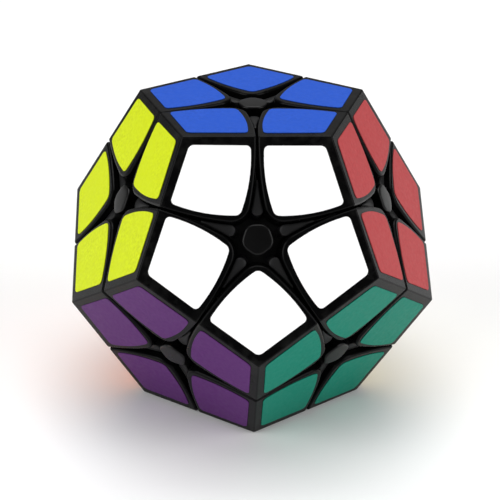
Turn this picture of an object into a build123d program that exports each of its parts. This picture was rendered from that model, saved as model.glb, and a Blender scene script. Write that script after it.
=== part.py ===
"""A dodecahedron twisty puzzle with twenty corners and twelve turning faces.

Every layer is cut from the puzzle by surfaces of revolution about its face axis: three cones with
their apex at the puzzle's centre, joined by spheres about the same point. Each piece is what
those layers have in common, so any face can turn. The widest cone is tangent to its neighbours'
neighbours at the middle of each edge, which gives the corners their kite faces and curved sides.

Frame: millimetres, origin at the puzzle's centre, +Z through the middle of the blue face. The
white face looks towards -Y, and the light blue face is the one that it rests on.
"""

from build123d import *
from math import acos, atan, cos, degrees, radians, sin, sqrt, tan
import os

# ---- driving dimensions -------------------------------------------------------------------------

ACROSS_FLATS = 74.0  # from sticker to opposite sticker
STICKER_THICK = 0.15
FACE = ACROSS_FLATS / 2 - STICKER_THICK  # from the centre to a plastic face

GAP = 0.3  # play between two pieces that slide past each other
CORE_TOP = 18.0  # radius of the sphere that the feet slide on
LIP_LOW = 24.0  # radius under the lips that hold the feet down
LIP_TOP = 30.0  # radius over the lips, under the outer shells

CUT_LIP = 48.0  # half angle of a layer's cone at the lips
CUT_FOOT = 55.0  # half angle of a layer's cone at the feet
JOIN = 1.0  # how far the stretches of one piece reach into each other
JOIN_TURN = 1.0  # the same, as an angle at the centre

WALL_TURN = 2.3  # wall of a corner shell, as an angle at the centre
WALL = 1.5  # wall of a corner shell under its faces
PLUG_TURN = 0.1  # play of the foot's plate in the shell's mouth, as an angle
PLATE = 1.6  # thickness of the foot's plate
WELL_TURN = 3.6  # wall of the neck round the well that lightens it, as an angle
WELL_FLOOR = 1.8  # thickness of the foot under the well
TIP_ROUND = 4.5  # rounding of a kite's inner tip
EDGE_ROUND = 0.5  # rounding of the dodecahedron's edges
RIM_ROUND = 0.6  # rounding round a kite's rim

PAD_DEPTH = 1.8  # how far an edge's pads lie below the face
PAD_INNER = 5.25  # from the face's centre to a pad's round end
PAD_OUTER = 13.2  # from the face's centre to a pad's tail
PAD_WIDEST = 6.5  # the same to where a pad is widest, half way down it, and where its tail rounds off
PAD_MIDDLE = 9.5
PAD_NARROW = 12.9
PAD_PLAY_TURN = 0.3  # play between a pad and the corners beside it, as an angle
PAD_ROOT = 3.0  # how far a pad's column starts under the outer shells

FLANGE_SPREAD = 22.0  # half angles of the cones that a centre's flange and hub are cut to
HUB_SPREAD = 13.0

BORE = 2.3  # radius of the spring's bore in a centre
BORE_FLOOR = 21.0
SCREW_HOLE = 1.35
SCREW_SHANK = 1.2
SCREW_TIP = 9.0  # from the centre to the screw's end
SCREW_POINT = 0.5  # chamfer of the screw's end
SCREW_HEAD = 2.15
SCREW_HEAD_THICK = 1.5
SCREW_HEAD_ROUND = 0.5
CROSS_LONG = 2.4  # the screw's cross recess
CROSS_WIDE = 0.6
CROSS_DEEP = 0.9
SPRING_TURNS = 5
SPRING_WIRE = 0.25  # radius of the wire
SPRING_PLAY = 0.2  # between the spring and its bore
HAIR = 0.02  # so that two surfaces only just don't touch
WASHER_LOW = 26.2
WASHER_THICK = 0.4
WASHER_PLAY = 0.1

CAP_TOP = 36.7
CAP_FLAT = 3.22  # from the cap's axis to a flat side, at its top
CAP_CORNER = 1.5  # rounding between two flat sides
CAP_ROUND = 0.5  # rounding of the top's rim
CAP_TAPER = 5.0  # the skirt narrows downwards, so that turning corners pass it
SKIRT_LOW = 33.7
SLOT_WIDE = 2.1  # the slot in each flat side of the skirt
SLOT_DEEP = 0.55
SLOT_TOP = 36.1
STEM_LOW = 30.1
STEM_FLAT_LOW = 2.3
STEM_FLAT_TOP = 2.45
STEM_CORNER = 1.0
PLUG_LOW = 28.6  # underside of a cap's plug, above the screw's head
PLUG_PLAY = 0.05

BALL = 10.0
ARM = 3.2
ARM_TOP = 17.75
ARM_PLAY = 0.03  # round a screw's shank

STICKER_EDGE = 1.9  # from a sticker to the dodecahedron's edge
STICKER_SPOKE = 1.6  # from a sticker to the line that parts two kites, at the edge
STICKER_WAIST = 2.15  # the same half way to the tip
STICKER_TIP = 6.6  # from the face's centre to the sticker's tip, before rounding
STICKER_ROUND = 1.05

# ---- angles of the dodecahedron -----------------------------------------------------------------

ADJACENT = degrees(atan(2))  # between the axes of two faces that share an edge
TO_EDGE = ADJACENT / 2  # from a face's axis to the middle of its edge
TO_VERTEX = degrees(acos(sqrt((5 + 2 * sqrt(5)) / 15)))  # from a face's axis to its vertex
CUT = 90 - TO_EDGE  # half angle of a layer's cone at the surface
FIFTH = 72.0
HALF_GAP = GAP / 2
RIM_RADIUS = 40.0  # from the centre to a layer's rim, about
GAP_TURN = degrees(atan(HALF_GAP / RIM_RADIUS))  # half the gap, as an angle at the centre
REACH = 60.0  # longer than the puzzle's radius
LOW = (Align.CENTER, Align.CENTER, Align.MIN)  # stands on its plane

# ---- faces, colours and layers ------------------------------------------------------------------


def aimed(turn, tilt):
    """The unit vector at an angle about +Z from +X, and at an angle above the horizon."""
    level = cos(radians(tilt))
    return Vector(level * cos(radians(turn)), level * sin(radians(turn)), sin(radians(tilt)))


RING = 90 - ADJACENT  # how far the ring faces look up or down
FACES = {
    "blue": Vector(0, 0, 1),
    "white": aimed(-90, RING),
    "red": aimed(-18, RING),
    "pink": aimed(54, RING),
    "light_green": aimed(126, RING),
    "yellow": aimed(198, RING),
    "purple": aimed(-126, -RING),
    "green": aimed(-54, -RING),
    "cream": aimed(18, -RING),
    "grey": aimed(90, -RING),
    "orange": aimed(162, -RING),
    "light_blue": Vector(0, 0, -1),
}
LAYERS = {"front": "white", "back": "pink", "bottom": "light_blue"}


def touching(a, b):
    """True for two different faces that share an edge."""
    return a != b and FACES[a].dot(FACES[b]) > 0


NAMES = list(FACES)
EDGES = [(a, b) for i, a in enumerate(NAMES) for b in NAMES[i + 1 :] if touching(a, b)]
TRIOS = [(a, b, c) for a, b in EDGES for c in NAMES[NAMES.index(b) + 1 :]]
CORNERS = [(a, b, c) for a, b, c in TRIOS if touching(a, c) and touching(b, c)]


def body_of(faces):
    """The layer that a piece on these faces turns with, or fixed."""
    for layer, face in LAYERS.items():
        if face in faces:
            return layer
    return "fixed"


def placed(piece, up, towards):
    """A copy of a piece made along +Z with its +X side towards a face, turned to where it belongs."""
    side = towards - up * towards.dot(up)
    return Plane(origin=(0, 0, 0), x_dir=side, z_dir=up).location * piece


# ---- cones and spheres --------------------------------------------------------------------------


def cone(axis, half_angle, clear_of):
    """A solid cone from the centre. Its seam is on the side away from clear_of."""
    side = axis * axis.dot(clear_of) - clear_of
    frame = Plane(origin=(0, 0, 0), x_dir=side, z_dir=axis)
    return frame.location * Cone(0, REACH * tan(radians(half_angle)), REACH, align=LOW)


def ball(radius):
    """A ball whose seam and poles are away from +Z."""
    return Rot(0, 90, 0) * Sphere(radius)


def between(solid, low, high):
    """What a solid has between two spheres about the centre."""
    return (solid & ball(high)) - ball(low)


def below_face(axis, distance):
    """Everything on the near side of a face's plane."""
    top = Plane(origin=axis * distance, z_dir=axis)
    size = 4 * REACH
    return top.location * Box(size, size, size, align=(Align.CENTER, Align.CENTER, Align.MAX))


def common(*solids):
    """What all the solids have in common."""
    result = solids[0]
    for solid in solids[1:]:
        result = result & solid
    return result


def one_solid(shape):
    """The single solid that a shape should be, or a plain message."""
    found = shape.solids()
    if len(found) != 1:
        raise ValueError(f"expected one solid, got {[round(s.volume, 2) for s in found]}")
    return found[0]


UP = Vector(0, 0, 1)

# ---- corner -------------------------------------------------------------------------------------


def corner_axes():
    """The three face axes of a corner whose vertex is on +Z."""
    return [aimed(120 * k, 90 - TO_VERTEX) for k in range(3)]


def corner_block(half_angle):
    """What three layers' cones have in common round the vertex."""
    return common(*[cone(axis, half_angle, UP) for axis in corner_axes()])


def corner_shell():
    """The hollow outer shell of a corner, open towards the centre."""
    outer = corner_block(CUT - GAP_TURN)
    for axis in corner_axes():
        outer = outer & below_face(axis, FACE)
    outer = one_solid(outer - ball(LIP_TOP + HALF_GAP))
    tips = [e for e in outer.edges() if is_tip(e)]
    outer = one_solid(fillet(tips, TIP_ROUND))
    ridges = [e for e in outer.edges() if is_ridge(e)]
    outer = one_solid(fillet(ridges, EDGE_ROUND))
    rims = [e for face in outer.faces() if on_a_face(face) for e in face.edges() if is_rim(e)]
    outer = one_solid(fillet(rims, RIM_ROUND))
    hollow = corner_block(CUT - WALL_TURN)
    for axis in corner_axes():
        hollow = hollow & below_face(axis, FACE - WALL)
    return one_solid(outer - hollow)


def is_tip(edge):
    """True for an edge where two cones meet, which points at the centre."""
    start, end = edge.position_at(0), edge.position_at(1)
    return edge.geom_type == GeomType.LINE and start.cross(end).length < 0.01 * start.length * end.length


def is_ridge(edge):
    """True for an edge of the dodecahedron, where two flat faces meet."""
    middle = edge.position_at(0.5)
    depths = [abs(middle.dot(axis) - FACE) for axis in corner_axes()]
    return sum(depth < 0.01 for depth in depths) == 2


def on_a_face(face):
    """True for a flat face that lies on the dodecahedron."""
    return face.geom_type == GeomType.PLANE


def is_rim(edge):
    """True for an edge of a flat face that isn't along a rounded ridge."""
    return edge.geom_type != GeomType.LINE


def corner_foot():
    """The foot of a corner, with the neck that passes the lips and the plate in the shell's mouth."""
    foot = between(corner_block(CUT_FOOT - GAP_TURN), CORE_TOP + HALF_GAP, LIP_LOW - HALF_GAP)
    neck = between(corner_block(CUT_LIP - GAP_TURN), LIP_LOW - JOIN, LIP_TOP + JOIN)
    plate_low = LIP_TOP + HALF_GAP
    plate = between(corner_block(CUT - WALL_TURN - PLUG_TURN), plate_low, plate_low + PLATE)
    well_low = CORE_TOP + HALF_GAP + WELL_FLOOR
    well = between(corner_block(CUT_LIP - WELL_TURN), well_low, plate_low + 2 * PLATE)
    return one_solid(foot + neck + plate - well)


# ---- edge ---------------------------------------------------------------------------------------


def edge_block(inside, outside, low, high):
    """What the layers of two neighbouring faces share and the faces at the edge's ends don't."""
    solid = common(*[cone(aimed(turn, 90 - TO_EDGE), inside, UP) for turn in (0, 180)])
    solid = between(solid, low, high)
    for turn in (90, 270):
        solid = solid - cone(aimed(turn, 90 - CUT), outside, UP)
    return solid


def gap_half(along, height):
    """Half the width between two pads' corners, at a distance along the arm of a star."""
    reach, rise = cos(radians(90 - ADJACENT)), sin(radians(90 - ADJACENT))
    across, ahead = reach * sin(radians(FIFTH)), reach * cos(radians(FIFTH))
    known = along * ahead + height * rise
    level = cos(radians(CUT + PAD_PLAY_TURN)) ** 2
    a, b, c = across**2 - level, 2 * across * known, known**2 - level * (along**2 + height**2)
    return (-b + sqrt(b * b - 4 * a * c)) / (2 * a)


def pad_outline():
    """A long drop as wide as at a pad's top, with +X from the face's centre to the edge's middle."""
    stations = (PAD_WIDEST, PAD_MIDDLE, PAD_NARROW)
    wide, middle, narrow = [(along, gap_half(along, FACE - PAD_DEPTH)) for along in stations]
    round_end = ThreePointArc((wide[0], -wide[1]), (PAD_INNER, 0), wide)
    tail_end = ThreePointArc(narrow, (PAD_OUTER, 0), (narrow[0], -narrow[1]))
    side = ThreePointArc(wide, middle, narrow)
    return make_face(Wire([round_end, side, tail_end, side.mirror(Plane.XZ)]))


def pad():
    """A column down from a pad, on a face on +Z with the edge's middle towards +X."""
    drop, high, low = pad_outline(), FACE - PAD_DEPTH, LIP_TOP - PAD_ROOT
    return loft([Plane.XY.offset(low) * scale(drop, by=low / high), Plane.XY.offset(high) * drop])


def edge_piece():
    """A hidden edge piece: a slab at the lips' level, its foot, and two pads that show."""
    foot_low, foot_high = CORE_TOP + HALF_GAP, LIP_LOW - HALF_GAP
    slab_low, slab_high = LIP_LOW + HALF_GAP, LIP_TOP - HALF_GAP
    foot = edge_block(CUT_FOOT - GAP_TURN, CUT_FOOT + GAP_TURN, foot_low, foot_high)
    link = edge_block(CUT_LIP - GAP_TURN, CUT_FOOT + JOIN_TURN, LIP_LOW - JOIN, LIP_LOW + JOIN)
    slab = edge_block(CUT_LIP - GAP_TURN, CUT_LIP + GAP_TURN, slab_low, slab_high)
    piece = foot + link + slab
    for side in (0, 180):
        column = placed(pad(), aimed(side, 90 - TO_EDGE), UP)
        far_layer = cone(aimed(side + 180, 90 - TO_EDGE), CUT_LIP - 2 * JOIN_TURN, UP)
        piece = piece + (column - ball(LIP_TOP + HALF_GAP))
        piece = piece + (between(column, LIP_TOP - JOIN, LIP_TOP + JOIN) & far_layer)
    return one_solid(piece)


# ---- centre, cap, screw and spring --------------------------------------------------------------


def neighbours(half_angle):
    """The cones of the five faces round a face on +Z."""
    return [cone(aimed(FIFTH * k, 90 - ADJACENT), half_angle, UP) for k in range(5)]


def disc(low, high, spread):
    """A round block about +Z between two spheres."""
    return between(cone(UP, spread, Vector(1, 0, 0)), low, high)


def centre_piece():
    """A centre: a flange that holds the edges down, and a hub with the spring's bore."""
    flange = disc(LIP_LOW + HALF_GAP, LIP_TOP - HALF_GAP, FLANGE_SPREAD)
    for solid in neighbours(CUT_LIP + GAP_TURN):
        flange = flange - solid
    hub = disc(CORE_TOP + HALF_GAP, LIP_LOW + JOIN, HUB_SPREAD)
    for solid in neighbours(CUT_FOOT + GAP_TURN):
        hub = hub - solid
    bore = Pos(0, 0, BORE_FLOOR) * Cylinder(BORE, REACH, align=LOW)
    return one_solid(flange + hub - bore - Cylinder(SCREW_HOLE, 2 * REACH))


def pentagon(flat, rounding, height):
    """A rounded pentagon across +Z whose flat sides look at the neighbouring faces."""
    sharp = flat / cos(radians(36))
    plate = RegularPolygon(sharp, 5, rotation=36)
    return Plane.XY.offset(height) * fillet(plate.vertices(), rounding)


def cap():
    """The button in the middle of a face: a tapered, slotted head on a stem, and its plug."""
    outline = pentagon(CAP_FLAT, CAP_CORNER, CAP_TOP)
    head = extrude(outline, CAP_TOP - SKIRT_LOW, dir=(0, 0, -1), taper=CAP_TAPER)
    head = fillet(head.edges().group_by(Axis.Z)[-1], CAP_ROUND)
    for k in range(5):
        slot = Pos(CAP_FLAT, 0, SKIRT_LOW) * Box(2 * SLOT_DEEP, SLOT_WIDE, SLOT_TOP - SKIRT_LOW, align=LOW)
        head = head - Rot(0, 0, FIFTH * k) * slot
    stem_foot = pentagon(STEM_FLAT_LOW, STEM_CORNER, STEM_LOW)
    stem = loft([stem_foot, pentagon(STEM_FLAT_TOP, STEM_CORNER, SKIRT_LOW + JOIN)])
    plug = Pos(0, 0, PLUG_LOW) * Cylinder(BORE - PLUG_PLAY, STEM_LOW - PLUG_LOW + JOIN, align=LOW)
    return one_solid(head + stem + plug)


def screw():
    """A pan head screw with a cross recess, from its head in the centre to its end in the core."""
    under = WASHER_LOW + WASHER_THICK
    head = Pos(0, 0, under) * Cylinder(SCREW_HEAD, SCREW_HEAD_THICK, align=LOW)
    head = fillet(head.edges().group_by(Axis.Z)[-1], SCREW_HEAD_ROUND)
    shank = Pos(0, 0, SCREW_TIP) * Cylinder(SCREW_SHANK, under + JOIN - SCREW_TIP, align=LOW)
    shank = chamfer(shank.edges().group_by(Axis.Z)[0], SCREW_POINT)
    cross = Box(CROSS_LONG, CROSS_WIDE, 2 * CROSS_DEEP) + Box(CROSS_WIDE, CROSS_LONG, 2 * CROSS_DEEP)
    return one_solid(head + shank - Pos(0, 0, under + SCREW_HEAD_THICK) * cross)


def washer():
    """The flat washer between the screw's head and the spring."""
    ring = Cylinder(SCREW_HEAD, WASHER_THICK) - Cylinder(SCREW_SHANK + WASHER_PLAY, 2 * WASHER_THICK)
    return one_solid(Pos(0, 0, WASHER_LOW + WASHER_THICK / 2) * ring)


def spring():
    """The helical spring round the screw, in the centre's bore."""
    radius = BORE - SPRING_PLAY - SPRING_WIRE
    low, high = BORE_FLOOR + SPRING_WIRE + HAIR, WASHER_LOW - SPRING_WIRE - HAIR
    path = Pos(0, 0, low) * Helix((high - low) / SPRING_TURNS, high - low, radius)
    section = Plane(origin=path @ 0, z_dir=path % 0) * Circle(SPRING_WIRE)
    return one_solid(sweep(section, path, is_frenet=True))


def core():
    """The core: a ball with an arm towards each face, bored for the screw."""
    solid = Sphere(BALL)
    for axis in FACES.values():
        frame = Plane(origin=(0, 0, 0), z_dir=axis).location
        solid = solid + frame * Cylinder(ARM, ARM_TOP, align=LOW)
    for axis in FACES.values():
        frame = Plane(origin=axis * (SCREW_TIP - JOIN), z_dir=axis).location
        solid = solid - frame * Cylinder(SCREW_SHANK + ARM_PLAY, ARM_TOP, align=LOW)
    return one_solid(solid)


# ---- sticker ------------------------------------------------------------------------------------


def kite_point(along, off):
    """A point in a face's plane, from its distance along a spoke and its distance off it."""
    turn = radians(36)
    return (along * cos(turn) + off * sin(turn), along * sin(turn) - off * cos(turn))


def sticker():
    """A kite sticker on a face on +Z, with its outer corner towards +X."""
    vertex = FACE * tan(radians(TO_VERTEX)) - STICKER_EDGE / sin(radians(54))
    outer = kite_point(FACE * tan(radians(TO_EDGE)) - STICKER_EDGE, STICKER_SPOKE)
    waist = kite_point(FACE * tan(radians(TO_EDGE)) / 2, STICKER_WAIST)
    tip = (STICKER_TIP, 0)
    left = [Line((vertex, 0), outer), ThreePointArc(outer, waist, tip)]
    right = [line.mirror(Plane.XZ) for line in left]
    outline = make_face(Wire(left + right))
    outline = fillet(outline.vertices(), STICKER_ROUND)
    return extrude(Plane.XY.offset(FACE) * outline, STICKER_THICK)


# ---- assembly -----------------------------------------------------------------------------------


def vertex_of(faces):
    """The direction of the vertex, or the edge's middle, that faces share."""
    total = Vector(0, 0, 0)
    for face in faces:
        total = total + FACES[face]
    return total.normalized()


def node(parts, name, solids):
    """Add solids to the node of a name."""
    parts.setdefault(name, []).extend(solids)


def assemble():
    """Every node's solids by its name."""
    parts = {}
    corner = [corner_shell(), corner_foot()]
    edge = edge_piece()
    hub = {"centre": centre_piece(), "cap": cap()}
    hardware = {"face_screws": screw(), "screw_washers": washer(), "tension_springs": spring()}
    decal = sticker()
    for faces in CORNERS:
        body = body_of(faces)
        name = "fixed_corners" if body == "fixed" else "corner_" + "_".join(faces)
        node(parts, name, [placed(solid, vertex_of(faces), FACES[faces[0]]) for solid in corner])
        for face in faces:
            node(parts, f"{body}_stickers_{face}", [placed(decal, FACES[face], vertex_of(faces))])
    for faces in EDGES:
        node(parts, body_of(faces) + "_edges", [placed(edge, vertex_of(faces), FACES[faces[0]])])
    for face, axis in FACES.items():
        beside = next(FACES[other] for other in NAMES if touching(face, other))
        body = body_of([face])
        for kind, solid in hub.items():
            name = f"{body}_{kind}s" if body == "fixed" else f"{body}_{kind}"
            node(parts, name, [placed(solid, axis, beside)])
        for name, solid in hardware.items():
            node(parts, name, [placed(solid, axis, beside)])
    node(parts, "core", [core()])
    return parts


os.makedirs("parts", exist_ok=True)
for part_name, part_solids in assemble().items():
    export_step(Compound(children=part_solids), f"parts/{part_name}.step")
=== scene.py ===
"""A dodecahedron twisty puzzle: its finished looks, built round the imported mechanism.

The moulded corners, the face centres, the core and the metal parts are the mechanism's own pieces,
given their finishes. The vinyl stickers, the centre caps and the hidden edges with their crowned
pads are made here. Every layer is a body that turns, so each kind of piece is made once for each
body it belongs to.

Metres, origin at the puzzle's centre, +Z through the blue face, the white face towards -Y.
"""

import random
from itertools import combinations
from math import atan, cos, degrees, radians, sin, tan

import bmesh
import bpy
from mathutils import Matrix, Vector


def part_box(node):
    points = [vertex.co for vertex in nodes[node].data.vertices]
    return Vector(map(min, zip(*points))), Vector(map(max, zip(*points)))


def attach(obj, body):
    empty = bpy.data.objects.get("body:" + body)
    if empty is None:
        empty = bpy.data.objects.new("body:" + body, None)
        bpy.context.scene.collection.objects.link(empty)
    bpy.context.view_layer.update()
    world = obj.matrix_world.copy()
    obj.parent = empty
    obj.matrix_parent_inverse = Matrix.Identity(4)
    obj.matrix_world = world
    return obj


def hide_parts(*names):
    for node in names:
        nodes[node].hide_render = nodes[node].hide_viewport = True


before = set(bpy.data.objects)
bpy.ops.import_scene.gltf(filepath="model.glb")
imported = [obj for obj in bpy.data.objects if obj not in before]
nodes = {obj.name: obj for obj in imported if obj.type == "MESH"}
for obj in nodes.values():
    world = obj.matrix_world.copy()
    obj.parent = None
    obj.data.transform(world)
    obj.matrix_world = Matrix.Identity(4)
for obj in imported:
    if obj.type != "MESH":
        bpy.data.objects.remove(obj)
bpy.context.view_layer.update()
MM = 0.001

# ---- the dodecahedron ---------------------------------------------------------------------------

ADJACENT = degrees(atan(2))  # between the axes of two faces that share an edge
RING = 90 - ADJACENT  # how far the ring faces look up or down
FIFTH = 72.0
LAYERS = {"front": "white", "back": "pink", "bottom": "light_blue"}


def aimed(turn, tilt):
    """The unit vector at an angle about +Z from +X, and at an angle above the horizon."""
    level = cos(radians(tilt))
    return Vector((level * cos(radians(turn)), level * sin(radians(turn)), sin(radians(tilt))))


FACES = {
    "blue": aimed(0, 90),
    "white": aimed(-90, RING),
    "red": aimed(-18, RING),
    "pink": aimed(54, RING),
    "light_green": aimed(126, RING),
    "yellow": aimed(198, RING),
    "purple": aimed(-126, -RING),
    "green": aimed(-54, -RING),
    "cream": aimed(18, -RING),
    "grey": aimed(90, -RING),
    "orange": aimed(162, -RING),
    "light_blue": aimed(0, -90),
}


def touching(faces):
    """True for faces that all share an edge with each other."""
    return all(FACES[a].dot(FACES[b]) > 0 for a, b in combinations(faces, 2))


CORNERS = [trio for trio in combinations(FACES, 3) if touching(trio)]


def body_of(faces):
    """The layer that a piece on these faces turns with, or fixed."""
    for layer, face in LAYERS.items():
        if face in faces:
            return layer
    return "fixed"


def direction(faces):
    """Towards the vertex, or the edge's middle, that faces share."""
    return sum((FACES[face] for face in faces), Vector()).normalized()


def seat(axis, towards):
    """Turns a shape made on +Z, with its +X side towards a direction, to where it belongs."""
    side = (towards - axis * towards.dot(axis)).normalized()
    return Matrix((side, axis.cross(side), axis)).transposed().to_4x4()


# ---- sizes --------------------------------------------------------------------------------------

blue_low, blue_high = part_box("fixed_stickers_blue")
FACE = blue_low.z  # from the puzzle's centre to the plastic of a face
FILM_TOP = blue_high.z  # and to the top of its stickers
EDGE_IN = FACE * tan(radians(ADJACENT / 2))  # from a face's centre to its edge
VERTEX_IN = EDGE_IN / cos(radians(FIFTH / 2))

# ---- mesh making --------------------------------------------------------------------------------


def finished(bm, name, material, sharp_from=35):
    """A piece from a bmesh, smooth but for edges sharper than an angle, or flat if it is 0."""
    bmesh.ops.recalc_face_normals(bm, faces=bm.faces)
    mesh = bpy.data.meshes.new(name)
    bm.to_mesh(mesh)
    bm.free()
    if sharp_from:
        mesh.shade_smooth()
        mesh.set_sharp_from_angle(angle=radians(sharp_from))
    mesh.materials.append(material)
    piece = bpy.data.objects.new(name, mesh)
    bpy.context.scene.collection.objects.link(piece)
    return piece


def close_ends(bm):
    """Fills the open ends of a shape that was grown from one face."""
    bmesh.ops.holes_fill(bm, edges=[edge for edge in bm.edges if edge.is_boundary], sides=0)


def stamp(bm, shape, matrix):
    """Adds a copy of a shape, placed by a matrix, to a bmesh."""
    mesh = bpy.data.meshes.new("stamp")
    shape.to_mesh(mesh)
    before = len(bm.verts)
    bm.from_mesh(mesh)
    bm.verts.ensure_lookup_table()
    bmesh.ops.transform(bm, matrix=matrix, verts=bm.verts[before:])
    bpy.data.meshes.remove(mesh)


def raised(bm, face, rise, spread=(1, 1), about=Matrix()):
    """Extrudes a face along its normal, with its new rim scaled in the space of a matrix."""
    normal = face.normal.copy()
    top = bmesh.ops.extrude_discrete_faces(bm, faces=[face])["faces"][0]
    bmesh.ops.scale(bm, vec=(spread[0], spread[1], 1), space=about, verts=top.verts)
    bmesh.ops.translate(bm, vec=normal * rise, verts=top.verts)
    top.normal_update()
    return top


def rounded(bm, verts, reach, segments):
    """Rounds corners of a flat outline, from a reach along each side."""
    bmesh.ops.bevel(
        bm,
        geom=verts,
        offset=reach,
        affect="VERTICES",
        segments=segments,
        profile=0.5,
        material=-1,
    )


# ---- stickers -----------------------------------------------------------------------------------

FILM_EDGE = 1.95 * MM  # from a sticker to the dodecahedron's edge
FILM_SPOKE = 1.6 * MM  # from a sticker's side corner to the line that parts two corners
FILM_TIP = 6.6 * MM  # from the face's centre to a sticker's tip, before rounding
FILM_BOW = 0.85 * MM  # how far the two inner sides bow out
FILM_CORNER = 1.0 * MM  # how far a corner's rounding reaches along its sides
FILM_RIM = 0.06 * MM  # the rounding of the cut edge
BOW_CUTS = 9
CORNER_STEPS = 6
RIM_CUTS = 2
HAND_SHIFT = 0.22 * MM  # stickers are put on by hand, never quite square
HAND_TURN = 0.9  # degrees
HAND_DRAW = 7  # seed


def kite_point(along, off):
    """A point on a face, from its distance along a spoke and its distance off it."""
    turn = radians(FIFTH / 2)
    return Vector((along * cos(turn) + off * sin(turn), along * sin(turn) - off * cos(turn)))


def sticker_shape():
    """One kite of vinyl film on a face on +Z, its outer corner towards +X."""
    bm = bmesh.new()
    outer = Vector((VERTEX_IN - FILM_EDGE / cos(radians(FIFTH / 2)), 0))
    side = kite_point(EDGE_IN - FILM_EDGE, FILM_SPOKE)
    tip = Vector((FILM_TIP, 0))
    outline = [outer, side, tip, Vector((side.x, -side.y))]
    film = bm.faces.new([bm.verts.new((p.x, p.y, FACE)) for p in outline])
    inner_sides = sorted(film.edges, key=lambda edge: (edge.verts[0].co + edge.verts[1].co).x)[:2]
    made = bmesh.ops.subdivide_edges(bm, edges=inner_sides, cuts=BOW_CUTS)
    bmesh.ops.dissolve_faces(bm, faces=bm.faces)
    bowed = [item for item in made["geom_inner"] if isinstance(item, bmesh.types.BMVert)]
    chord = (side - tip).normalized()
    for vert in bowed:
        share = (vert.co.x - tip.x) / (side.x - tip.x)
        bow = FILM_BOW * 4 * share * (1 - share)
        vert.co.x -= chord.y * bow
        vert.co.y += chord.x * bow * (1 if vert.co.y > 0 else -1)
    rounded(bm, [vert for vert in bm.verts if vert not in bowed], FILM_CORNER, CORNER_STEPS)
    top = raised(bm, bm.faces[:][0], FILM_TOP - FACE)
    bmesh.ops.bevel(
        bm,
        geom=list(top.edges),
        offset=FILM_RIM,
        affect="EDGES",
        segments=RIM_CUTS,
        profile=0.5,
        material=-1,
    )
    close_ends(bm)
    return bm


def make_stickers():
    """A sheet of stickers for each body and colour."""
    shape = sticker_shape()
    sheets = {}
    hand = random.Random(HAND_DRAW)
    for faces in CORNERS:
        for face in faces:
            slip = Vector((hand.uniform(-1, 1), hand.uniform(-1, 1), 0)) * HAND_SHIFT
            turn = Matrix.Rotation(radians(hand.uniform(-1, 1) * HAND_TURN), 4, "Z")
            place = seat(FACES[face], direction(faces)) @ Matrix.Translation(slip) @ turn
            sheet = sheets.setdefault((body_of(faces), face), bmesh.new())
            stamp(sheet, shape, place)
    for (body, face), sheet in sheets.items():
        piece = finished(sheet, f"{face}_film_{body}", VINYL[face], 0)
        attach(piece, body)
        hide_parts(f"{body}_stickers_{face}")
    shape.free()


# ---- finishes -----------------------------------------------------------------------------------


def new_finish(name):
    """A material with its node tree, its main shader and its object coordinates."""
    material = bpy.data.materials.new(name)
    material.use_nodes = True
    tree = material.node_tree
    place = tree.nodes.new("ShaderNodeTexCoord").outputs["Object"]
    return material, tree, tree.nodes["Principled BSDF"], place


def noise(tree, place, scale, detail=3):
    """Noise from 0 to 1, with features about one over its scale across, in metres."""
    node = tree.nodes.new("ShaderNodeTexNoise")
    node.inputs["Scale"].default_value = scale
    node.inputs["Detail"].default_value = detail
    tree.links.new(place, node.inputs["Vector"])
    return node.outputs["Fac"]


def ranged(tree, value, low, high, from_low=0.3, from_high=0.7):
    """A value stretched from one range to another and held inside it."""
    node = tree.nodes.new("ShaderNodeMapRange")
    node.inputs["From Min"].default_value = from_low
    node.inputs["From Max"].default_value = from_high
    node.inputs["To Min"].default_value = low
    node.inputs["To Max"].default_value = high
    tree.links.new(value, node.inputs["Value"])
    return node.outputs["Result"]


def blended(tree, share, first, second):
    """One colour or another, by a share from 0 to 1."""
    node = tree.nodes.new("ShaderNodeMix")
    node.data_type = "RGBA"
    tree.links.new(share, node.inputs["Factor"])
    for socket, colour in ((node.inputs[6], first), (node.inputs[7], second)):
        if isinstance(colour, tuple):
            socket.default_value = (*colour, 1)
        else:
            tree.links.new(colour, socket)
    return node.outputs[2]


def bumped(tree, height, distance, strength, under=None):
    """A bump of a height map, on top of another bump if one is given."""
    node = tree.nodes.new("ShaderNodeBump")
    node.inputs["Distance"].default_value = distance
    node.inputs["Strength"].default_value = strength
    tree.links.new(height, node.inputs["Height"])
    if under is not None:
        tree.links.new(under, node.inputs["Normal"])
    return node.outputs["Normal"]


def outwardness(tree, place, low, high):
    """From 0 to 1 between two distances from the centre: what stands out is rubbed, and is also
    painted lighter as an edge highlight.
    """
    node = tree.nodes.new("ShaderNodeVectorMath")
    node.operation = "LENGTH"
    tree.links.new(place, node.inputs[0])
    return ranged(tree, node.outputs["Value"], 0, 1, low, high)


def multiplied(tree, first, second):
    """The product of two values."""
    node = tree.nodes.new("ShaderNodeMath")
    node.operation = "MULTIPLY"
    tree.links.new(first, node.inputs[0])
    tree.links.new(second, node.inputs[1])
    return node.outputs[0]


# Noise scales, in features per metre.
CLOUDS = 90
SCUFF_AND_HIGHLIGHT_SPOTS = 420
GLOSS = 260
GRAIN = 5200
SINK_MARKS = 130
PRINT = 1500
FLOW = 110
FILM_GLOSS = 900
FILM_TEXTURE = 2600
FILM_WAVES = 160
TARNISH = 900
SCRATCHES = 3000
FINE_SCRATCHES = 6000
BOARD_SHADES = 3

WEAR_AND_HIGHLIGHT_FROM = 41 * MM  # from the centre, where the corners start to be rubbed and painted lighter as an edge highlight
WEAR_AND_HIGHLIGHT_TO = 45.5 * MM


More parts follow.
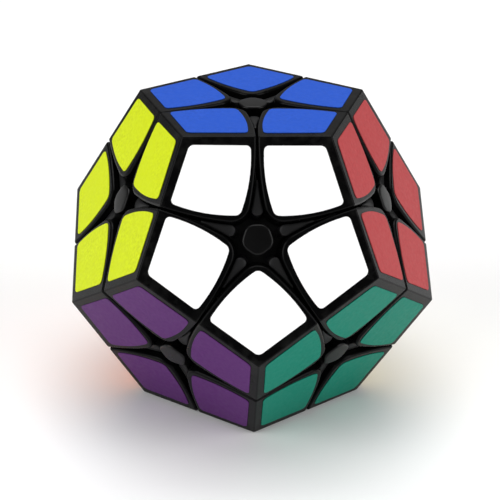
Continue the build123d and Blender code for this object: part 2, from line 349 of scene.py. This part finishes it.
def moulded_black(name, dark, light, rubbed_and_highlight, rough, specular):
    """Spark-eroded ABS: a fine grain, cloudy gloss, and outer ridges that are rubbed and also
    painted lighter as an edge highlight.
    """
    material, tree, shader, place = new_finish(name)
    body_colour = blended(tree, ranged(tree, noise(tree, place, CLOUDS), 0, 1), dark, light)
    scuff_and_highlight_spots = ranged(tree, noise(tree, place, SCUFF_AND_HIGHLIGHT_SPOTS, 6), 0, 1, 0.45, 0.75)
    # painted highlight: the outer ridges get a lighter colour, partly rubbed wear and partly a
    # painted edge highlight
    wear_and_highlight = multiplied(tree, outwardness(tree, place, WEAR_AND_HIGHLIGHT_FROM, WEAR_AND_HIGHLIGHT_TO), scuff_and_highlight_spots)
    tree.links.new(blended(tree, wear_and_highlight, body_colour, rubbed_and_highlight), shader.inputs["Base Color"])
    gloss = ranged(tree, noise(tree, place, GLOSS), rough, rough + 0.08)
    tree.links.new(gloss, shader.inputs["Roughness"])
    shader.inputs["Specular IOR Level"].default_value = specular
    grain = bumped(tree, noise(tree, place, GRAIN, 2), 0.02 * MM, 0.35)
    sink = bumped(tree, noise(tree, place, SINK_MARKS, 1), 0.05 * MM, 0.25, grain)
    tree.links.new(sink, shader.inputs["Normal"])
    return material


def vinyl(name, colour, mottle):
    """Printed vinyl film: a faint mottle of the print and the fine texture of the film."""
    material, tree, shader, place = new_finish(name)
    deep = tuple(c * (1 - mottle) for c in colour)
    pale = tuple(min(1, c * (1 + mottle * 0.8) + 0.004) for c in colour)
    mottled = blended(tree, ranged(tree, noise(tree, place, PRINT, 4), 0, 1), deep, pale)
    flow = ranged(tree, noise(tree, place, FLOW, 2), 0, 1)
    tree.links.new(blended(tree, flow, colour, mottled), shader.inputs["Base Color"])
    gloss = ranged(tree, noise(tree, place, FILM_GLOSS, 3), 0.40, 0.52)
    tree.links.new(gloss, shader.inputs["Roughness"])
    shader.inputs["Specular IOR Level"].default_value = 0.1
    texture = bumped(tree, noise(tree, place, FILM_TEXTURE, 3), 0.012 * MM, 0.4)
    waves = bumped(tree, noise(tree, place, FILM_WAVES, 1), 0.06 * MM, 0.3, texture)
    tree.links.new(waves, shader.inputs["Normal"])
    return material


def drawn_steel(name, colour, rough):
    """Bright plated steel with fine scratches."""
    material, tree, shader, place = new_finish(name)
    dull = tuple(c * 0.75 for c in colour)
    tarnished = blended(tree, ranged(tree, noise(tree, place, TARNISH, 4), 0, 1), colour, dull)
    tree.links.new(tarnished, shader.inputs["Base Color"])
    scratched = ranged(tree, noise(tree, place, SCRATCHES, 3), rough, rough + 0.15)
    tree.links.new(scratched, shader.inputs["Roughness"])
    shader.inputs["Metallic"].default_value = 1.0
    scratches = bumped(tree, noise(tree, place, FINE_SCRATCHES, 2), 0.01 * MM, 0.3)
    tree.links.new(scratches, shader.inputs["Normal"])
    return material


INK = {
    "white": (0.92, 0.92, 0.92),
    "blue": (0.014, 0.085, 0.525),
    "red": (0.430, 0.050, 0.054),
    "green": (0.002, 0.200, 0.135),
    "purple": (0.089, 0.020, 0.130),
    "yellow": (0.600, 0.705, 0.004),
    "pink": (0.86, 0.26, 0.43),
    "light_green": (0.18, 0.60, 0.08),
    "cream": (0.86, 0.74, 0.39),
    "grey": (0.27, 0.28, 0.30),
    "orange": (0.88, 0.21, 0.015),
    "light_blue": (0.17, 0.50, 0.82),
}
MOTTLE = 0.14
WHITE_MOTTLE = 0.01
VINYL = {
    colour: vinyl(f"vinyl_{colour}", ink, WHITE_MOTTLE if colour == "white" else MOTTLE)
    for colour, ink in INK.items()
}
# the rubbed colour of the corners also stands in as a painted highlight along their outer ridges
CORNER_BLACK = moulded_black(
    "corner_black",
    dark=(0.0010, 0.0010, 0.0012),
    light=(0.0022, 0.0022, 0.0022),
    rubbed_and_highlight=(0.0100, 0.0100, 0.0096),
    rough=0.20,
    specular=0.07,
)
PAD_BLACK = moulded_black(
    "pad_black",
    dark=(0.0075, 0.0075, 0.0082),
    light=(0.0105, 0.0105, 0.0105),
    rubbed_and_highlight=(0.0160, 0.0160, 0.0160),
    rough=0.42,
    specular=0.2,
)
CAP_BLACK = moulded_black(
    "cap_black",
    dark=(0.0008, 0.0008, 0.0009),
    light=(0.0014, 0.0014, 0.0014),
    rubbed_and_highlight=(0.0040, 0.0040, 0.0040),
    rough=0.27,
    specular=0.2,
)
CORE_BLACK = moulded_black(
    "core_black",
    dark=(0.018, 0.018, 0.018),
    light=(0.024, 0.024, 0.024),
    rubbed_and_highlight=(0.030, 0.030, 0.030),
    rough=0.45,
    specular=0.4,
)
SCREW_STEEL = drawn_steel("screw_steel", (0.60, 0.60, 0.62), 0.25)
SPRING_STEEL = drawn_steel("spring_steel", (0.50, 0.50, 0.52), 0.3)


def coat(node, material):
    """Gives a piece of the mechanism its finish."""
    mesh = nodes[node].data
    mesh.materials.clear()
    mesh.materials.append(material)


def finish_mechanism():
    """The finish of each piece that keeps the mechanism's own shape."""
    for node in nodes:
        if node.startswith("corner_") or node == "fixed_corners":
            coat(node, CORNER_BLACK)
        elif node.endswith(("_centre", "_centres")):
            coat(node, PAD_BLACK)
    coat("core", CORE_BLACK)
    coat("face_screws", SCREW_STEEL)
    coat("screw_washers", SCREW_STEEL)
    coat("tension_springs", SPRING_STEEL)


# ---- pads of the hidden edges -------------------------------------------------------------------

PAD_CROWN = 0.35 * MM  # how far a pad's middle stands over its rim
PAD_RINGS = 6
PAD_TOP = FACE - 1.8 * MM  # height of the pads' rims over the centre
HAIR = 0.01 * MM  # how near a face is to a level to count as on it
WELD = 0.001 * MM


def crown(bm, top):
    """Raises a pad's flat top to a soft crown, ring by ring up a quarter of an ellipse."""
    middle = top.calc_center_median()
    laid = seat(top.normal, middle).inverted()
    about = Matrix.Translation(-(laid @ middle)) @ laid
    for ring in range(1, PAD_RINGS):
        before, now = (radians(90 * k / PAD_RINGS) for k in (ring - 1, ring))
        narrower = cos(now) / cos(before)
        shorter = (0.5 + 0.5 * cos(now)) / (0.5 + 0.5 * cos(before))
        top = raised(bm, top, PAD_CROWN * (sin(now) - sin(before)), (shorter, narrower), about)


def make_edges(body):
    """The edges of a body, with their pads crowned."""
    bm = bmesh.new()
    bm.from_mesh(nodes[f"{body}_edges"].data)
    bmesh.ops.remove_doubles(bm, verts=bm.verts, dist=WELD)
    bmesh.ops.dissolve_limit(bm, angle_limit=radians(0.5), verts=bm.verts, edges=bm.edges)
    tops = []
    for face in bm.faces:
        for axis in FACES.values():
            level = face.calc_center_median().dot(axis)
            if face.normal.dot(axis) > 0.9999 and abs(level - PAD_TOP) < HAIR:
                tops.append(face)
    for top in tops:
        crown(bm, top)
    piece = finished(bm, f"edge_blocks_{body}", PAD_BLACK)
    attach(piece, body)
    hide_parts(f"{body}_edges")


# ---- caps ---------------------------------------------------------------------------------------

CAP_TOP = FACE - 0.15 * MM
CAP_FLAT = 3.4 * MM  # half a cap's width across flats, at its top
CAP_CORNER = 2.3 * MM  # radius
CAP_ROUND = 0.5 * MM  # radius of the rim
CAP_CROWN = 0.05 * MM
CAP_TAPER = tan(radians(5))
SKIRT_LOW = CAP_TOP - 3.0 * MM
SKIRT_TOP = CAP_TOP - 0.6 * MM
STEM_FLAT = 2.4 * MM
PLUG_TOP = CAP_TOP - 6.6 * MM
PLUG_LOW = CAP_TOP - 8.1 * MM
PLUG_FLAT = 1.9 * MM  # half widths across flats
CAP_SHARP = 40  # degrees from which an edge shades as sharp
SLOT_WALL = 0.15 * MM  # round a slot, from the edges of its flat side
SLOT_DEPTH = 0.5 * MM
SLOT_RIM = 0.06 * MM
RIM_STEPS = 5


def cap_flat(height):
    """Half the width across flats of a cap's tapered skirt at a height."""
    return CAP_FLAT - (CAP_TOP - height) * CAP_TAPER


def grown(bm, face, rings):
    """Grows a cap upwards from a face, through rings of a height and a half width across flats."""
    for height, half in rings:
        now = min((edge.verts[0].co + edge.verts[1].co).xy.length / 2 for edge in face.edges)
        face = raised(bm, face, height - face.verts[0].co.z, (half / now, half / now))
    return face


def cap_rim():
    """The rings of a cap's rounded rim and its slightly crowned top."""
    side = cap_flat(CAP_TOP - CAP_ROUND)
    turns = [radians(90 * k / RIM_STEPS) for k in range(RIM_STEPS + 1)]
    rim = [
        (CAP_TOP - CAP_ROUND * (1 - sin(turn)), side - CAP_ROUND * (1 - cos(turn)))
        for turn in turns
    ]
    crowned = [(CAP_TOP + CAP_CROWN / 2, CAP_FLAT * 0.6), (CAP_TOP + CAP_CROWN, CAP_FLAT * 0.3)]
    return rim + crowned


def slotted(bm, skirt):
    """Sinks a slot into each of the skirt's flat sides."""
    widest = max(face.calc_area() for face in skirt)
    flats = [face for face in skirt if face.calc_area() > widest / 2]
    bmesh.ops.inset_individual(bm, faces=flats, thickness=SLOT_WALL, depth=0, use_even_offset=True)
    rims = [edge for face in flats for edge in face.edges]
    for slot in bmesh.ops.extrude_discrete_faces(bm, faces=flats)["faces"]:
        slot.normal_update()
        bmesh.ops.translate(bm, vec=slot.normal * -SLOT_DEPTH, verts=slot.verts)
    bmesh.ops.bevel(
        bm,
        geom=rims,
        offset=SLOT_RIM,
        affect="EDGES",
        segments=RIM_CUTS,
        profile=0.5,
        material=-1,
    )


def cap_shape():
    """One cap on +Z: a plug, a stem, a skirt with a slot in each flat side, and a crowned top."""
    bm = bmesh.new()
    radius = CAP_FLAT / cos(radians(FIFTH / 2))
    bmesh.ops.create_circle(bm, cap_ends=True, segments=5, radius=radius)
    flat_first = Matrix.Rotation(radians(FIFTH / 4), 3, "Z")
    bmesh.ops.rotate(bm, cent=(0, 0, 0), matrix=flat_first, verts=bm.verts)
    rounded(bm, bm.verts[:], CAP_CORNER * tan(radians(FIFTH / 2)), CORNER_STEPS)
    face = bm.faces[:][0]
    if face.normal.z < 0:
        face.normal_flip()
    share = PLUG_FLAT / CAP_FLAT
    bmesh.ops.scale(bm, vec=(share, share, 1), verts=bm.verts)
    bmesh.ops.translate(bm, vec=(0, 0, PLUG_LOW), verts=bm.verts)
    stem = [(PLUG_TOP, PLUG_FLAT), (PLUG_TOP, STEM_FLAT), (SKIRT_LOW, STEM_FLAT)]
    face = grown(bm, face, stem + [(SKIRT_LOW, cap_flat(SKIRT_LOW))])
    before = set(bm.faces)
    face = grown(bm, face, [(SKIRT_TOP, cap_flat(SKIRT_TOP))])
    skirt = [side for side in bm.faces if side not in before and side is not face]
    grown(bm, face, cap_rim())
    slotted(bm, skirt)
    close_ends(bm)
    return bm


def make_caps():
    """The caps of each body, flat sides towards the neighbouring faces."""
    shape = cap_shape()
    groups = {}
    for face, axis in FACES.items():
        beside = next(
            other for name, other in FACES.items() if name != face and axis.dot(other) > 0
        )
        group = groups.setdefault(body_of([face]), bmesh.new())
        stamp(group, shape, seat(axis, beside))
    for body, group in groups.items():
        piece = finished(group, f"centre_caps_{body}", CAP_BLACK, CAP_SHARP)
        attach(piece, body)
        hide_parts("fixed_caps" if body == "fixed" else f"{body}_cap")
    shape.free()


# ---- studio -------------------------------------------------------------------------------------

ROOM_LIGHT = 0.1
SOFTBOXES = (  # name, turn and tilt in degrees, distance and size in metres, watts
    ("overhead", 90, 84, 1.3, 1.2, 10.5),
    ("left_softbox", -150, 24, 1.9, 1.55, 23.3),
    ("right_softbox", -30, 24, 1.9, 1.55, 21.5),
    ("pale_wall", 90, 32, 1.9, 2.34, 4.3),
    ("rear_overhead", 90, 62, 1.5, 0.9, 4.5),
)

LENS = 104.8
CAMERA_PLACE = Vector((-14.4, -323.7, 152.3)) * MM
LOOK_RIGHT = 2.50  # degrees
LOOK_DOWN = 25.44
LOOK_ROLL = 0.75
SENSOR = 36  # millimetres, as the lens
FLOOR_REACH = 3.0


def floor_finish():
    """Plain pale board."""
    material, tree, shader, place = new_finish("pale_board")
    shade = ranged(tree, noise(tree, place, BOARD_SHADES), 0, 1)
    board = blended(tree, shade, (0.94, 0.94, 0.94), (0.96, 0.96, 0.96))
    tree.links.new(board, shader.inputs["Base Color"])
    shader.inputs["Roughness"].default_value = 0.9
    shader.inputs["Specular IOR Level"].default_value = 0.1
    return material


def make_floor():
    """A pale floor under the light blue face's stickers."""
    bm = bmesh.new()
    bmesh.ops.create_grid(bm, x_segments=1, y_segments=1, size=FLOOR_REACH)
    bmesh.ops.translate(bm, vec=(0, 0, -FILM_TOP), verts=bm.verts)
    finished(bm, "floor", floor_finish())


def softbox(name, turn, tilt, distance, size, power):
    """A square area light that looks at the puzzle from a distance."""
    light = bpy.data.lights.new(name, "AREA")
    light.shape = "SQUARE"
    light.size = size
    light.energy = power
    lamp = bpy.data.objects.new(name, light)
    lamp.location = aimed(turn, tilt) * distance
    lamp.rotation_euler = aimed(turn, tilt).to_track_quat("Z", "Y").to_euler()
    lamp.visible_camera = False
    bpy.context.scene.collection.objects.link(lamp)


def make_lights():
    """Plain soft light: a dim white room, softboxes and a pale wall behind."""
    world = bpy.data.worlds.new("dim_room")
    world.use_nodes = True
    background = world.node_tree.nodes["Background"]
    background.inputs["Color"].default_value = (1, 1, 1, 1)
    background.inputs["Strength"].default_value = ROOM_LIGHT
    bpy.context.scene.world = world
    for name, turn, tilt, distance, size, power in SOFTBOXES:
        softbox(name, turn, tilt, distance, size, power)


def make_camera():
    """A camera above the white face and a little to its left."""
    lens = bpy.data.cameras.new("camera")
    lens.sensor_width = SENSOR
    lens.lens = LENS
    camera = bpy.data.objects.new("camera", lens)
    turn = Matrix.Rotation(radians(-LOOK_RIGHT), 4, "Z")
    tilt = Matrix.Rotation(radians(90 - LOOK_DOWN), 4, "X")
    roll = Matrix.Rotation(radians(LOOK_ROLL), 4, "Z")
    camera.matrix_world = Matrix.Translation(CAMERA_PLACE) @ turn @ tilt @ roll
    bpy.context.scene.collection.objects.link(camera)
    bpy.context.scene.camera = camera


# ---- the scene ----------------------------------------------------------------------------------

bpy.context.scene.view_settings.view_transform = "Standard"
make_camera()
make_lights()
make_floor()
finish_mechanism()
make_stickers()
make_caps()
for layer in (*LAYERS, "fixed"):
    make_edges(layer)
